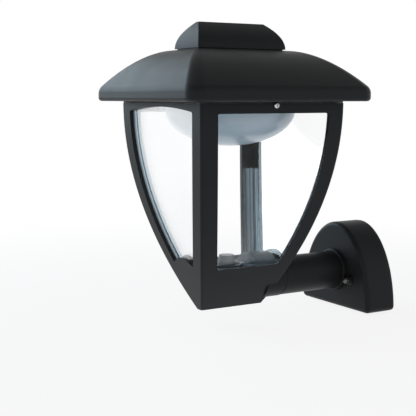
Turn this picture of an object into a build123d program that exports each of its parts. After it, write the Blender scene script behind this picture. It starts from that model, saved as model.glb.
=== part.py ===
"""Outdoor coach light: a four-sided lantern on a round arm and a half-oval wall plate.

Millimetres, +Z up. The wall is the plane Y = 0 and the light stands out from it along -Y.
The origin is midway between the two wall screw holes, on the wall.
"""

import os
from math import sqrt

from build123d import *

os.makedirs("parts", exist_ok=True)

# Lantern body: every side is a parabola, upright at its wide end and leaning in towards its narrow end
lantern_y = -169.0
frame_top_z = 187.5
frame_bottom_z = -18.0
frame_top_half = 80.0
frame_keel_half_x = 5.0
frame_keel_half_y = 36.0
frame_wall = 4.0
frame_corner_radius = 2.5
cavity_floor_z = -6.0
ledge_z = 22.0
ledge_width = 2.5

# Windows in the four sides
side_post_width = 17.5
front_post_width = 16.5
side_window_sill_z = 27.0
side_window_head_z = 178.0
front_window_sill_z = 29.0
front_window_sill_rise = 7.0
front_window_head_z = 179.5
front_window_head_rise = 4.5
window_corner_radius = 2.0

# Clear diffuser inside the frame
fit_gap = 0.3
diffuser_wall = 2.0
diffuser_top_z = 180.0
diffuser_corner_radius = 3.0

# Cover over the wiring space in the lantern's foot
cover_thickness = 2.0
cover_hump_radius = 27.5
cover_hump_wall = 2.0
cover_hump_front = 22.0
cover_hump_back = 44.5
cover_post_radius = 9.0
cover_post_top_radius = 7.5
cover_post_height = 11.0
cover_post_y = -4.0
cover_ring_radius = 16.0
cover_ring_width = 2.0
cover_ring_height = 2.0
cover_screw_ys = (-28.0, 17.0)
cover_screw_pillar_radius = 4.0
cover_screw_length = 12.0

# Roof: a square rim, then a crown that flattens towards the cap
roof_rim_z = 189.0
roof_rim_height = 12.0
roof_rim_half = 101.5
roof_rim_corner = 13.0
roof_rim_edge_radius = 3.5
roof_shoulder_radius = 9.0
roof_crown_z = 238.5
roof_crown_half_x = 26.0
roof_crown_half_y = 51.5
roof_crown_corner = 4.0
roof_crown_exponent = 1.8
roof_crown_shares = (0, 0.18, 0.4, 0.62, 0.82, 1)
roof_wall = 3.0
soffit_thickness = 3.0
soffit_opening_half = 58.0
plinth_height = 1.2
plinth_half_x = 22.5
plinth_half_y = 48.0
plinth_corner_radius = 2.0

# Cap on the roof
cap_base_half_x = 24.5
cap_base_half_y = 50.0
cap_ridge_half_x = 3.0
cap_ridge_half_y = 37.3
cap_top_z = 265.3
cap_wall = 3.0
cap_corner_radius = 2.0
cap_ridge_edge_radius = 1.0
cap_boss_radius = 5.0
cap_cavity_top_z = 258.0
cap_screw_length = 12.0

# Roof screws, which hang in lugs under the roof and drop into open slots in the frame's rail
roof_screw_z = 185.5
rail_slot_gap = 0.3
lug_inner_x = 68.0
lug_outer_x = 74.5
lug_half_width = 7.0
lug_bottom_z = 180.5
gasket_thickness = 1.4
gasket_inner_corner = 1.0

# Gear tray, bowl and light source under the roof
tray_thickness = 1.6
tray_half = 66.0
tray_corner_radius = 3.0
tray_lip_inner_radius = 62.6
tray_lip_wall = 1.4
tray_lip_depth = 6.0
tray_screw_at = 62.0
bowl_neck_radius = 62.3
bowl_neck_wall = 2.0
bowl_radius = 64.5
bowl_widest_z = 180.6
bowl_bottom_z = 145.0
bowl_wall = 2.2
bowl_seal_height = 1.0
bowl_seal_width = 3.6
board_radius = 45.0
board_thickness = 1.6
board_screw_at = 40.0
chip_size = 3.0
chip_height = 0.8
chip_rings = ((30.0, 12), (14.0, 6))
driver_length = 84.0
driver_width = 42.0
driver_height = 22.0
driver_corner_radius = 3.0
driver_edge_radius = 1.5
driver_foot_length = 100.0
driver_foot_width = 16.8
driver_foot_thickness = 2.0
driver_screw_x = 46.0

# Arm between the lantern and the wall plate
arm_z = 7.5
arm_radius = 20.0
arm_wall = 3.0
arm_end_wall = 4.0
arm_front_y = lantern_y + 57.5
arm_flange_radius = 22.5
arm_flange_thickness = 4.0
arm_flange_edge_radius = 1.2
boss_radius = 20.5
boss_end_y = lantern_y + 56.0
inner_boss_radius = 13.0
inner_boss_root_y = lantern_y + 48.0
inner_boss_y = lantern_y + 34.0
spigot_radius = 8.0
spigot_gap = 0.1
spigot_bore_radius = 5.0
spigot_end_y = lantern_y + 26.0
arm_seal_outer_radius = 19.5
arm_seal_inner_radius = 10.0
washer_thickness = 1.5
washer_radius = 12.0
nut_across_flats = 22.0
nut_thickness = 5.0
flange_screw_circle = 20.0
flange_screw_depth = 3.5

# Wall plate: half an ellipse on a flat foot
plate_foot_z = -32.0
plate_half_width = 57.5
plate_height = 91.0
plate_front_y = -36.0
plate_back_y = -2.0
plate_wall = 3.0
plate_foot_corner = 6.0
plate_edge_radius = 4.5
plate_wire_hole_radius = 12.0
stud_x = 28.0
stud_radius = 2.0
stud_hole_radius = 2.3
stud_boss_radius = 5.0
stud_end_y = -42.0
stud_washer_radius = 5.0
stud_washer_thickness = 1.0
cap_nut_across_flats = 7.0
cap_nut_hex_height = 3.5
cap_nut_dome_radius = 3.3
cap_nut_length = 8.0

# Bar, cable entry and terminals behind the wall plate
bar_length = 96.0
bar_height = 22.0
bar_thickness = 2.0
bar_corner_radius = 4.0
wall_hole_spacing = 80.0
wall_hole_radius = 2.6
cable_hole_radius = 8.0
grommet_lip_radius = 10.5
grommet_lip_thickness = 1.5
cable_radius = 4.5
terminal_width = 30.0
terminal_height = 14.0
terminal_depth = 12.0
terminal_corner_radius = 1.5
terminal_z = 42.0
terminal_pitch = 9.0
terminal_well_depth = 5.0
terminal_wire_radius = 1.8
terminal_wire_depth = 7.0
terminal_screw_radius = 2.0
terminal_screw_length = 4.0
terminal_slot = (2.4, 0.6, 0.8)
earth_x = -20.0
earth_z = -18.0
earth_boss_radius = 4.0
earth_boss_height = 8.0
earth_screw_length = 6.0

# Pan-head screws: head radius, head height and shank radius
roof_screw = (3.0, 2.2, 2.0)
cap_fixing = (4.0, 2.6, 2.0)
cover_fixing = (3.0, 2.0, 1.5)
tray_fixing = (3.6, 2.4, 2.0)
board_fixing = (2.8, 1.8, 1.5)
driver_fixing = (2.6, 1.8, 1.5)
flange_fixing = (2.8, 2.0, 1.5)
earth_fixing = (3.5, 2.2, 2.0)
head_taper = 12.0
recess_share = 0.5
hole_clearance = 0.2
screw_end_gap = 0.3

# Planes through the lantern's axis: x to the right and Z up, seen from the front and from the side
front_plane = Plane(origin=(0, lantern_y, 0), x_dir=(1, 0, 0), z_dir=(0, -1, 0))
side_plane = Plane(origin=(0, lantern_y, 0), x_dir=(0, 1, 0), z_dir=(1, 0, 0))
through = 120.0


def facing_wall(y):
    """Plane at a distance y from the wall, facing the room, with X to the right and Z up."""
    return Plane(origin=(0, y, 0), x_dir=(1, 0, 0), z_dir=(0, -1, 0))


def facing_back(y):
    """Plane at a distance y from the wall, facing the wall."""
    return Plane(origin=(0, y, 0), x_dir=(-1, 0, 0), z_dir=(0, 1, 0))


def level(z):
    """Horizontal plane at height z, centred on the lantern's axis."""
    return Plane(origin=(0, lantern_y, z), x_dir=(1, 0, 0), z_dir=(0, 0, 1))


def underside(z):
    """Horizontal plane at height z that faces down, centred on the lantern's axis."""
    return Plane(origin=(0, lantern_y, z), x_dir=(1, 0, 0), z_dir=(0, 0, -1))


def parabola(wide, narrow, wide_z, narrow_z):
    """Half width against height, upright at wide_z; returns the width and its slope."""
    drop = wide - narrow
    height = narrow_z - wide_z

    def half(z):
        return wide - drop * ((z - wide_z) / height) ** 2

    def slope(z):
        return -2 * drop * (z - wide_z) / height**2

    return half, slope


def curved_side(law, inset, start_z, end_z, sign):
    """One side of an outline: a stretch of the parabola as its exact three-point Bezier curve."""
    half, slope = law
    middle_z = (start_z + end_z) / 2
    start = half(start_z) - inset
    control = start + slope(start_z) * (middle_z - start_z)
    end = half(end_z) - inset
    return Bezier((sign * start, start_z), (sign * control, middle_z), (sign * end, end_z))


def outline(law, inset, start_z, end_z):
    """Closed outline between two heights, mirrored about the lantern's axis."""
    right = curved_side(law, inset, start_z, end_z, 1)
    left = curved_side(law, inset, start_z, end_z, -1)
    Line(right @ 0, left @ 0)
    Line(right @ 1, left @ 1)


def window(law, post_width, head, sill):
    """Closed outline between two posts; head and sill are a height and how far they bow upwards."""
    half, _ = law
    cut = window_corner_radius
    for sign in (-1, 1):
        curved_side(law, post_width, head[0] - cut, sill[0] + cut, sign)
    for (end_z, rise), side_z in ((head, head[0] - cut), (sill, sill[0] + cut)):
        corner_x = half(end_z) - post_width
        bow_x = corner_x - cut
        bow_z = end_z + rise * (1 - (bow_x / corner_x) ** 2)
        if rise:
            Bezier((-bow_x, bow_z), (0, bow_z + 2 * rise * (bow_x / corner_x) ** 2), (bow_x, bow_z))
        else:
            Line((-bow_x, bow_z), (bow_x, bow_z))
        side_x = half(side_z) - post_width
        for sign in (-1, 1):
            Bezier((sign * bow_x, bow_z), (sign * corner_x, end_z), (sign * side_x, side_z))


def tapered_form(law_x, law_y, inset, start_z, end_z):
    """Solid whose front follows one parabola and whose side follows the other."""
    with BuildPart() as form:
        with BuildSketch(front_plane):
            with BuildLine():
                outline(law_x, inset, start_z, end_z)
            make_face()
        extrude(amount=through, both=True)
        with BuildSketch(side_plane):
            with BuildLine():
                outline(law_y, inset, start_z, end_z)
            make_face()
        extrude(amount=through, both=True, mode=Mode.INTERSECT)
    return form.part


def roof_section(share, inset):
    """Half sizes, corner and height of the crown, from its rim (share 0) to its top (share 1)."""
    half_x = roof_rim_half + (roof_crown_half_x - roof_rim_half) * share - inset
    half_y = roof_rim_half + (roof_crown_half_y - roof_rim_half) * share - inset
    corner = roof_rim_corner + (roof_crown_corner - roof_rim_corner) * share - inset
    rise = (roof_crown_z - roof_shoulder_z) * (1 - share) ** roof_crown_exponent
    return half_x, half_y, max(corner, 1.0), roof_crown_z - rise - inset


def crown_form(inset):
    """Crown of the roof, lofted through rounded rectangles."""
    with BuildPart() as crown:
        for share in roof_crown_shares:
            half_x, half_y, corner, z = roof_section(share, inset)
            with BuildSketch(level(z)):
                RectangleRounded(2 * half_x, 2 * half_y, corner)
        loft()
    return crown.part


def rim_form(inset, start_z):
    """Upright rim of the roof, from a height up to the crown."""
    half, _, corner, top_z = roof_section(0, inset)
    with BuildPart() as rim:
        with BuildSketch(level(start_z)):
            RectangleRounded(2 * half, 2 * half, corner)
        extrude(amount=top_z - start_z)
    return rim.part


def plate_outline(inset):
    """Half an ellipse standing on a flat foot with rounded corners, drawn in by an inset."""
    foot = plate_foot_z + inset
    half_width = plate_half_width - inset
    height = plate_height - 2 * inset
    with BuildSketch(Plane.XZ, mode=Mode.PRIVATE) as sketch:
        with BuildLine():
            EllipticalCenterArc((0, foot), half_width, height, start_angle=0, arc_size=180)
            Line((-half_width, foot), (half_width, foot))
        make_face()
        fillet(sketch.vertices(), max(plate_foot_corner - inset, 1.0))
    return sketch.sketch_local


def ring(plane, centre, outer_radius, inner_radius, thickness):
    """Flat ring standing on a plane, added to the part being built."""
    with BuildSketch(plane) as face:
        with Locations(centre):
            Circle(outer_radius)
            Circle(inner_radius, mode=Mode.SUBTRACT)
    extrude(face.sketch, amount=thickness)


def discs(plane, places, radius, height):
    """Round discs or pins standing on a plane, added to the part being built."""
    with BuildSketch(plane) as circles:
        with Locations(*places):
            Circle(radius)
    extrude(circles.sketch, amount=height)


def holes(plane, places, radius, depth):
    """Round holes from a plane downwards, cut from the part being built."""
    with BuildSketch(plane) as circles:
        with Locations(*places):
            Circle(radius)
    extrude(circles.sketch, amount=-depth, mode=Mode.SUBTRACT)


def pan_screws(plane, places, fixing, length):
    """Pan-head screws with a cross recess: heads above the plane and shanks below it."""
    head_radius, head_height, shank_radius = fixing
    with BuildSketch(plane) as heads:
        with Locations(*places):
            Circle(head_radius)
    extrude(heads.sketch, amount=head_height, taper=head_taper)
    discs(plane, places, shank_radius, -length)
    arm_length = head_radius * recess_share
    with BuildSketch(plane.offset(head_height)) as crosses:
        with Locations(*places):
            Rectangle(2 * arm_length, arm_length / 2)
            Rectangle(arm_length / 2, 2 * arm_length)
    extrude(crosses.sketch, amount=-head_height / 2, mode=Mode.SUBTRACT)


def save(builder, name):
    """Label a finished piece and write it as one STEP file."""
    builder.part.label = name
    export_step(builder.part, f"parts/{name}.step")


# Laws and levels that several pieces share
frame_x = parabola(frame_top_half, frame_keel_half_x, frame_top_z, frame_bottom_z)
frame_y = parabola(frame_top_half, frame_keel_half_y, frame_top_z, frame_bottom_z)
frame_height = frame_top_z - frame_bottom_z
roof_shoulder_z = roof_rim_z + roof_rim_height
roof_inner_top_z = roof_crown_z - roof_wall
cap_base_z = roof_crown_z + plinth_height
cap_x = parabola(cap_base_half_x, cap_ridge_half_x, cap_base_z, cap_top_z)
cap_y = parabola(cap_base_half_y, cap_ridge_half_y, cap_base_z, cap_top_z)
cap_height = cap_top_z - cap_base_z
tray_z = roof_rim_z - tray_thickness
board_z = tray_z - board_thickness
cover_top_z = ledge_z + cover_thickness
plate_inner_y = plate_front_y + plate_wall
plate_depth = plate_back_y - plate_front_y
earth_y = plate_inner_y + earth_boss_height
terminal_face_y = plate_inner_y + terminal_depth

# Where the arm and the fasteners stand
arm_centre = [(0, arm_z)]
cover_screw_places = [(0, y) for y in cover_screw_ys]
stud_places = [(-stud_x, 0), (stud_x, 0)]
lug_places = [(sign * (lug_inner_x + lug_outer_x) / 2, 0) for sign in (-1, 1)]
tray_screw_places = [(sx * tray_screw_at, sy * tray_screw_at) for sx in (-1, 1) for sy in (-1, 1)]
board_screw_places = [(-board_screw_at, 0), (board_screw_at, 0)]
driver_screw_places = [(-driver_screw_x, 0), (driver_screw_x, 0)]
terminal_places = [(i * terminal_pitch, terminal_z) for i in (-1, 0, 1)]
flange_screw_places = [
    (flange_screw_circle * sx / sqrt(2), arm_z + flange_screw_circle * sz / sqrt(2))
    for sx in (-1, 1)
    for sz in (-1, 1)
]

# Lantern frame
with BuildPart() as lantern_frame:
    add(tapered_form(frame_x, frame_y, 0, frame_top_z, frame_bottom_z))
    corner_edges = lantern_frame.edges().filter_by(lambda edge: edge.length > 0.95 * frame_height)
    fillet(corner_edges, frame_corner_radius)
    # Boss on the back for the arm
    discs(facing_wall(boss_end_y), arm_centre, boss_radius, boss_end_y - inner_boss_y)
    add(tapered_form(frame_x, frame_y, frame_wall, frame_top_z, ledge_z), mode=Mode.SUBTRACT)
    foot_inset = frame_wall + ledge_width
    add(tapered_form(frame_x, frame_y, foot_inset, ledge_z, cavity_floor_z), mode=Mode.SUBTRACT)
    # Flat seat inside for the arm's nut
    seat_length = inner_boss_root_y - inner_boss_y
    discs(facing_wall(inner_boss_root_y), arm_centre, inner_boss_radius, seat_length)
    # Pillars for the wiring cover's screws, rooted in the floor
    pillar_root_z = cavity_floor_z - 1
    discs(level(pillar_root_z), cover_screw_places, cover_screw_pillar_radius, ledge_z - pillar_root_z)
    # Windows
    with BuildSketch(side_plane):
        with BuildLine():
            window(frame_y, side_post_width, (side_window_head_z, 0), (side_window_sill_z, 0))
        make_face()
    extrude(amount=through, both=True, mode=Mode.SUBTRACT)
    with BuildSketch(front_plane):
        with BuildLine():
            head = (front_window_head_z, front_window_head_rise)
            sill = (front_window_sill_z, front_window_sill_rise)
            window(frame_x, front_post_width, head, sill)
        make_face()
    extrude(amount=through, both=True, mode=Mode.SUBTRACT)
    # Open slots in the rail for the roof screws
    slot_radius = roof_screw[2] + rail_slot_gap
    with BuildSketch(side_plane):
        with Locations((0, roof_screw_z)):
            Circle(slot_radius)
            Rectangle(2 * slot_radius, 2 * slot_radius, align=(Align.CENTER, Align.MIN))
    extrude(amount=through, both=True, mode=Mode.SUBTRACT)
    # Holes for the arm's spigot and the cover's screws
    spigot_hole = spigot_radius + spigot_gap
    holes(facing_back(boss_end_y), arm_centre, spigot_hole, boss_end_y - inner_boss_y)
    holes(level(ledge_z), cover_screw_places, cover_fixing[2], cover_screw_length)
save(lantern_frame, "lantern_frame")

# Clear diffuser: a sleeve that stands on the wiring cover and closes the windows from inside
diffuser_inset = frame_wall + fit_gap
with BuildPart() as diffuser:
    add(tapered_form(frame_x, frame_y, diffuser_inset, diffuser_top_z, cover_top_z))
    diffuser_height = diffuser_top_z - cover_top_z
    fillet(diffuser.edges().filter_by(lambda edge: edge.length > diffuser_height), diffuser_corner_radius)
    inner_inset = diffuser_inset + diffuser_wall
    add(tapered_form(frame_x, frame_y, inner_inset, diffuser_top_z, cover_top_z), mode=Mode.SUBTRACT)
save(diffuser, "diffuser")

# Wiring cover: a plate on the ledge, with a hump over the arm's nut and a post for the lead
hump_front_y = lantern_y + cover_hump_front
hump_back_y = lantern_y + cover_hump_back
with BuildPart() as hump:
    with BuildSketch(facing_wall(hump_back_y)):
        with Locations((0, arm_z)):
            Circle(cover_hump_radius)
        with Locations((0, ledge_z)):
            Rectangle(
                2 * cover_hump_radius,
                cover_hump_radius,
                align=(Align.CENTER, Align.MIN),
                mode=Mode.INTERSECT,
            )
    extrude(amount=hump_back_y - hump_front_y)

with BuildPart() as wiring_cover:
    add(tapered_form(frame_x, frame_y, diffuser_inset, cover_top_z, ledge_z))
    add(hump.part)
    with BuildSketch(level(cover_top_z)):
        with Locations((0, cover_post_y)):
            Circle(cover_post_radius)
    with BuildSketch(level(cover_top_z + cover_post_height)):
        with Locations((0, cover_post_y)):
            Circle(cover_post_top_radius)
    loft()
    ring_inner = cover_ring_radius - cover_ring_width
    ring(level(cover_top_z), (0, cover_post_y), cover_ring_radius, ring_inner, cover_ring_height)
    # Room under the hump, open to the back
    room_radius = cover_hump_radius - cover_hump_wall
    room_depth = frame_top_half - cover_hump_front - cover_hump_wall
    holes(facing_wall(hump_front_y + cover_hump_wall), arm_centre, room_radius, room_depth)
    holes(level(cover_top_z), cover_screw_places, cover_fixing[2], cover_thickness)
save(wiring_cover, "wiring_cover")

with BuildPart() as wiring_cover_screws:
    pan_screws(level(cover_top_z), cover_screw_places, cover_fixing, cover_screw_length)
save(wiring_cover_screws, "wiring_cover_screws")

# Arm: a tube closed at the lantern end by a threaded spigot, with a flange at the wall plate
flange_front_y = plate_front_y - arm_flange_thickness
with BuildPart() as arm:
    discs(facing_wall(flange_front_y), arm_centre, arm_radius, flange_front_y - arm_front_y)
    discs(facing_wall(plate_front_y), arm_centre, arm_flange_radius, arm_flange_thickness)
    flange_edge = arm.edges().filter_by(GeomType.CIRCLE).filter_by(
        lambda edge: edge.radius > arm_radius and edge.center().Y < plate_front_y - 1
    )
    fillet(flange_edge, arm_flange_edge_radius)
    discs(facing_wall(arm_front_y), arm_centre, spigot_radius, arm_front_y - spigot_end_y)
    tube_depth = plate_front_y - arm_front_y - arm_end_wall
    holes(facing_back(plate_front_y), arm_centre, arm_radius - arm_wall, tube_depth)
    holes(facing_back(plate_front_y), arm_centre, spigot_bore_radius, plate_front_y - spigot_end_y)
    holes(facing_back(plate_front_y), flange_screw_places, flange_fixing[2], flange_screw_depth)
save(arm, "arm")

with BuildPart() as arm_seal:
    seal_depth = arm_front_y - boss_end_y
    ring(facing_wall(arm_front_y), (0, arm_z), arm_seal_outer_radius, arm_seal_inner_radius, seal_depth)
save(arm_seal, "arm_seal")

with BuildPart() as arm_washer:
    washer_hole = spigot_radius + hole_clearance
    ring(facing_wall(inner_boss_y), (0, arm_z), washer_radius, washer_hole, washer_thickness)
save(arm_washer, "arm_washer")

with BuildPart() as arm_nut:
    with BuildSketch(facing_wall(inner_boss_y - washer_thickness)):
        with Locations((0, arm_z)):
            RegularPolygon(nut_across_flats / 2, 6, major_radius=False)
            Circle(spigot_radius, mode=Mode.SUBTRACT)
    extrude(amount=nut_thickness)
save(arm_nut, "arm_nut")

# Wall plate: a hollow cover, open to the wall
with BuildPart() as wall_plate:
    with BuildSketch(facing_wall(plate_back_y)):
        add(plate_outline(0))
    extrude(amount=plate_depth)
    front_rim = wall_plate.faces().sort_by(Axis.Y)[0].edges()
    fillet(front_rim, plate_edge_radius)
    with BuildSketch(facing_wall(plate_back_y)):
        add(plate_outline(plate_wall))
    extrude(amount=plate_depth - plate_wall, mode=Mode.SUBTRACT)
    # Pillars that take the thrust of the cap nuts on to the bar, and one for the earth screw
    stud_pillar_length = -bar_thickness - plate_inner_y
    discs(facing_wall(-bar_thickness), stud_places, stud_boss_radius, stud_pillar_length)
    discs(facing_wall(earth_y), [(earth_x, earth_z)], earth_boss_radius, earth_boss_height)
    # Holes for the studs, the wires, the arm's screws and the earth screw
    holes(facing_back(-bar_thickness), stud_places, stud_hole_radius, plate_depth)
    holes(facing_back(plate_inner_y), arm_centre, plate_wire_hole_radius, plate_wall)
    flange_hole = flange_fixing[2] + hole_clearance
    holes(facing_back(plate_inner_y), flange_screw_places, flange_hole, plate_wall)
    holes(facing_back(earth_y), [(-earth_x, earth_z)], earth_fixing[2], earth_screw_length)
save(wall_plate, "wall_plate")

with BuildPart() as wall_gasket:
    with BuildSketch(facing_wall(0)):
        add(plate_outline(fit_gap))
        add(plate_outline(plate_wall - fit_gap), mode=Mode.SUBTRACT)
    extrude(amount=-plate_back_y)
save(wall_gasket, "wall_gasket")

# Screws from inside the wall plate into the arm's flange
with BuildPart() as arm_flange_screws:
    flange_screw_length = plate_wall + flange_screw_depth
    pan_screws(facing_back(plate_inner_y), flange_screw_places, flange_fixing, flange_screw_length)
save(arm_flange_screws, "arm_flange_screws")

# Steel bar on the wall, with the studs that the plate is drawn back on
with BuildPart() as wall_bracket:
    with BuildSketch(facing_wall(0)):
        RectangleRounded(bar_length, bar_height, bar_corner_radius)
        with Locations(*stud_places):
            Circle(stud_radius, mode=Mode.SUBTRACT)
        with GridLocations(wall_hole_spacing, 0, 2, 1):
            Circle(wall_hole_radius, mode=Mode.SUBTRACT)
        Circle(cable_hole_radius, mode=Mode.SUBTRACT)
    extrude(amount=bar_thickness)
save(wall_bracket, "wall_bracket")

with BuildPart() as bracket_studs:
    discs(facing_wall(0), stud_places, stud_radius, -stud_end_y)
save(bracket_studs, "bracket_studs")

with BuildPart() as stud_washers:
    discs(facing_wall(plate_front_y), stud_places, stud_washer_radius, stud_washer_thickness)
    washer_hole = stud_radius + hole_clearance
    holes(facing_back(plate_front_y), stud_places, washer_hole, stud_washer_thickness)
save(stud_washers, "stud_washers")

# Domed cap nuts: a hexagon, a half ball on it and a blind hole for the stud
nut_seat_y = plate_front_y - stud_washer_thickness
with BuildPart() as cap_nuts:
    with BuildSketch(facing_wall(nut_seat_y)):
        with Locations(*stud_places):
            RegularPolygon(cap_nut_across_flats / 2, 6, major_radius=False)
    extrude(amount=cap_nut_hex_height)
    dome_centre_y = nut_seat_y - cap_nut_length + cap_nut_dome_radius
    hexagon_end_y = nut_seat_y - cap_nut_hex_height
    discs(facing_wall(hexagon_end_y), stud_places, cap_nut_dome_radius, hexagon_end_y - dome_centre_y)
    with Locations(*[(x, dome_centre_y, z) for x, z in stud_places]):
        Sphere(cap_nut_dome_radius)
    blind_depth = nut_seat_y - stud_end_y + hole_clearance
    holes(facing_back(nut_seat_y), stud_places, stud_radius, blind_depth)
save(cap_nuts, "cap_nuts")

# Rubber ring in the bar, where the supply cable comes out of the wall
with BuildPart() as cable_grommet:
    ring(facing_wall(0), (0, 0), cable_hole_radius, cable_radius, bar_thickness)
    ring(facing_wall(-bar_thickness), (0, 0), grommet_lip_radius, cable_radius, grommet_lip_thickness)
save(cable_grommet, "cable_grommet")

# Three-way terminal block on the inside of the plate's front wall
terminal_plane = facing_back(terminal_face_y)
with BuildPart() as terminal_block:
    with BuildSketch(terminal_plane):
        with Locations((0, terminal_z)):
            RectangleRounded(terminal_width, terminal_height, terminal_corner_radius)
    extrude(amount=-terminal_depth)
    holes(terminal_plane, terminal_places, terminal_screw_radius, terminal_well_depth)
    # Wire entries through the block, one for each pole
    wire_y = terminal_face_y - terminal_wire_depth
    with BuildSketch(Plane(origin=(0, wire_y, terminal_z), x_dir=(1, 0, 0), z_dir=(0, 0, 1))):
        with GridLocations(terminal_pitch, 0, 3, 1):
            Circle(terminal_wire_radius)
    extrude(amount=terminal_height, both=True, mode=Mode.SUBTRACT)
save(terminal_block, "terminal_block")

with BuildPart() as terminal_screws:
    well_floor = terminal_plane.offset(-terminal_well_depth)
    discs(well_floor, terminal_places, terminal_screw_radius, terminal_screw_length)
    slot_length, slot_width, slot_depth = terminal_slot
    with BuildSketch(well_floor.offset(terminal_screw_length)):
        with Locations(*terminal_places):
            Rectangle(slot_length, slot_width)
    extrude(amount=-slot_depth, mode=Mode.SUBTRACT)
save(terminal_screws, "terminal_screws")

with BuildPart() as earth_screw:
    pan_screws(facing_back(earth_y), [(-earth_x, earth_z)], earth_fixing, earth_screw_length)
save(earth_screw, "earth_screw")

# Roof: the rim and the crown as one shell over a soffit
with BuildPart() as roof:
    add([rim_form(0, roof_rim_z), crown_form(0)])
    shoulder = roof.edges().filter_by_position(Axis.Z, roof_shoulder_z - 0.1, roof_shoulder_z + 0.1)
    fillet(shoulder, roof_shoulder_radius)
    fillet(roof.faces().sort_by(Axis.Z)[0].edges(), roof_rim_edge_radius)
    # Plinth under the cap
    with BuildSketch(level(roof_crown_z)):
        RectangleRounded(2 * plinth_half_x, 2 * plinth_half_y, plinth_corner_radius)
    extrude(amount=plinth_height)
    add([rim_form(roof_wall, roof_rim_z + soffit_thickness), crown_form(roof_wall)], mode=Mode.SUBTRACT)
    with BuildSketch(level(roof_rim_z)):
        Rectangle(2 * soffit_opening_half, 2 * soffit_opening_half)
    extrude(amount=soffit_thickness, mode=Mode.SUBTRACT)
    # Lugs for the roof screws, rooted in the soffit
    with BuildSketch(level(lug_bottom_z)):
        with Locations(*lug_places):
            Rectangle(lug_outer_x - lug_inner_x, 2 * lug_half_width)
    extrude(amount=roof_rim_z + 1 - lug_bottom_z)
    with BuildSketch(side_plane):
        with Locations((0, roof_screw_z)):
            Circle(roof_screw[2])
    extrude(amount=through, both=True, mode=Mode.SUBTRACT)
    cap_hole = cap_fixing[2] + hole_clearance
    holes(level(cap_base_z), [(0, 0)], cap_hole, cap_base_z - roof_inner_top_z)
    holes(level(roof_rim_z + soffit_thickness), tray_screw_places, tray_fixing[2], soffit_thickness)
save(roof, "roof")

# Cap
with BuildPart() as roof_cap:
    add(tapered_form(cap_x, cap_y, 0, cap_base_z, cap_top_z))
    corner_edges = roof_cap.edges().filter_by(lambda edge: edge.bounding_box().size.Z > 0.9 * cap_height)
    fillet(corner_edges, cap_corner_radius)
    fillet(roof_cap.faces().sort_by(Axis.Z)[-1].edges(), cap_ridge_edge_radius)
    add(tapered_form(cap_x, cap_y, cap_wall, cap_base_z, cap_cavity_top_z), mode=Mode.SUBTRACT)
    discs(level(cap_base_z), [(0, 0)], cap_boss_radius, cap_height - cap_wall)
    holes(level(cap_base_z + cap_screw_length), [(0, 0)], cap_fixing[2], cap_screw_length)
save(roof_cap, "roof_cap")

with BuildPart() as cap_screw:
    cap_screw_reach = cap_base_z - roof_inner_top_z + cap_screw_length - screw_end_gap
    pan_screws(underside(roof_inner_top_z), [(0, 0)], cap_fixing, cap_screw_reach)
save(cap_screw, "cap_screw")

# Seal between the roof and the frame's top edge
with BuildPart() as roof_gasket:
    with BuildSketch(level(roof_rim_z)):
        gasket_outer = 2 * (frame_top_half - fit_gap)
        gasket_inner = 2 * (frame_top_half - frame_wall + fit_gap)
        RectangleRounded(gasket_outer, gasket_outer, frame_corner_radius)
        RectangleRounded(gasket_inner, gasket_inner, gasket_inner_corner, mode=Mode.SUBTRACT)
    extrude(amount=-gasket_thickness)
save(roof_gasket, "roof_gasket")

# Roof screws, one on each side
with BuildPart() as roof_screws:
    head_x = frame_top_half + rail_slot_gap
    for sign in (-1, 1):
        side = Plane(origin=(sign * head_x, lantern_y, roof_screw_z), x_dir=(0, 1, 0), z_dir=(sign, 0, 0))
        pan_screws(side, [(0, 0)], roof_screw, head_x - lug_inner_x)
save(roof_screws, "roof_screws")

# Gear tray: a white plate under the soffit, with a round lip that the bowl snaps into
with BuildPart() as gear_tray:
    with BuildSketch(level(tray_z)):
        RectangleRounded(2 * tray_half, 2 * tray_half, tray_corner_radius)
        with Locations(*tray_screw_places):
            Circle(tray_fixing[2] + hole_clearance, mode=Mode.SUBTRACT)
        with Locations(*board_screw_places, *driver_screw_places):
            Circle(board_fixing[2], mode=Mode.SUBTRACT)
    extrude(amount=tray_thickness)
    lip_outer = tray_lip_inner_radius + tray_lip_wall
    ring(underside(tray_z), (0, 0), lip_outer, tray_lip_inner_radius, tray_lip_depth)
save(gear_tray, "gear_tray")

with BuildPart() as gear_tray_screws:
    tray_screw_length = tray_thickness + soffit_thickness
    pan_screws(underside(tray_z), tray_screw_places, tray_fixing, tray_screw_length)
save(gear_tray_screws, "gear_tray_screws")

with BuildPart() as bowl_seal:
    seal_inner = bowl_neck_radius - bowl_seal_width
    ring(underside(tray_z), (0, 0), bowl_neck_radius, seal_inner, bowl_seal_height)
save(bowl_seal, "bowl_seal")

# Bowl: half an ellipse turned about the lantern's axis, under a straight neck
neck_top_z = tray_z - bowl_seal_height
neck_inner = bowl_neck_radius - bowl_neck_wall
bowl_depth = bowl_widest_z - bowl_bottom_z
with BuildPart() as light_bowl:
    with BuildSketch(front_plane):
        with BuildLine():
            rim = (0, bowl_widest_z)
            EllipticalCenterArc(rim, bowl_radius, bowl_depth, start_angle=270, arc_size=90)
            Line((bowl_radius, bowl_widest_z), (bowl_neck_radius, bowl_widest_z))
            Line((bowl_neck_radius, bowl_widest_z), (bowl_neck_radius, neck_top_z))
            Line((bowl_neck_radius, neck_top_z), (neck_inner, neck_top_z))
            Line((neck_inner, neck_top_z), (neck_inner, bowl_widest_z))
            EllipticalCenterArc(rim, neck_inner, bowl_depth - bowl_wall, start_angle=270, arc_size=90)
            Line((0, bowl_bottom_z + bowl_wall), (0, bowl_bottom_z))
        make_face()
    revolve(axis=Axis((0, lantern_y, 0), (0, 0, 1)))
save(light_bowl, "light_bowl")

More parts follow.
